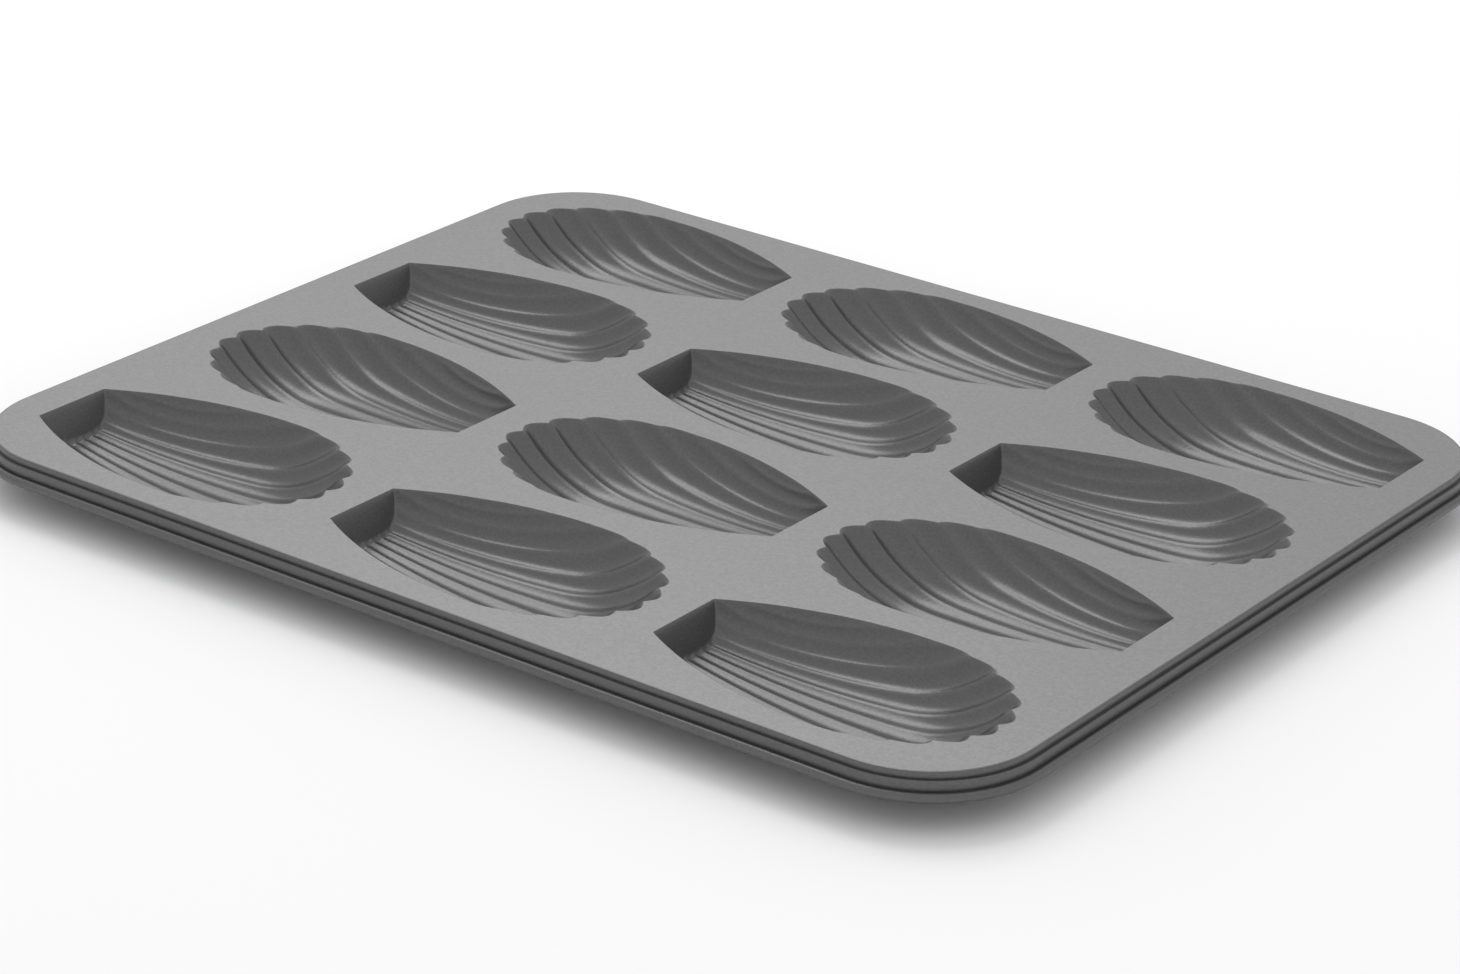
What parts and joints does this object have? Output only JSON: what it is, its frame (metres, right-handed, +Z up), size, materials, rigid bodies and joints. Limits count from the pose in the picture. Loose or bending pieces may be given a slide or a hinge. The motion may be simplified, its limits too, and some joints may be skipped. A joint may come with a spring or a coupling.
{
  "type": "madeleine pan",
  "caption": "Grey non-stick steel madeleine pan with rows of fluted shell-shaped cups and a rolled wire edge.",
  "frame": {"origin": "under the middle of the pan, on the plane that it stands on", "axes": "+X along the pan's long side, +Y across it from the front row to the back row, +Z up"},
  "size_m": [0.3008, 0.2408, 0.0138],
  "materials": {
    "coating": "semi-gloss",
    "wire": "satin"
  },
  "bodies": {
    "root": {"deck": "coating", "rim_skirt": "coating", "rim_bead": "coating", "rim_wire": "wire", "cup_a1": "coating", "cup_a2": "coating", "cup_a3": "coating", "cup_b1": "coating", "cup_b2": "coating", "cup_b3": "coating", "cup_c1": "coating", "cup_c2": "coating", "cup_c3": "coating", "cup_d1": "coating", "cup_d2": "coating", "cup_d3": "coating"}
  },
  "joints": []
}
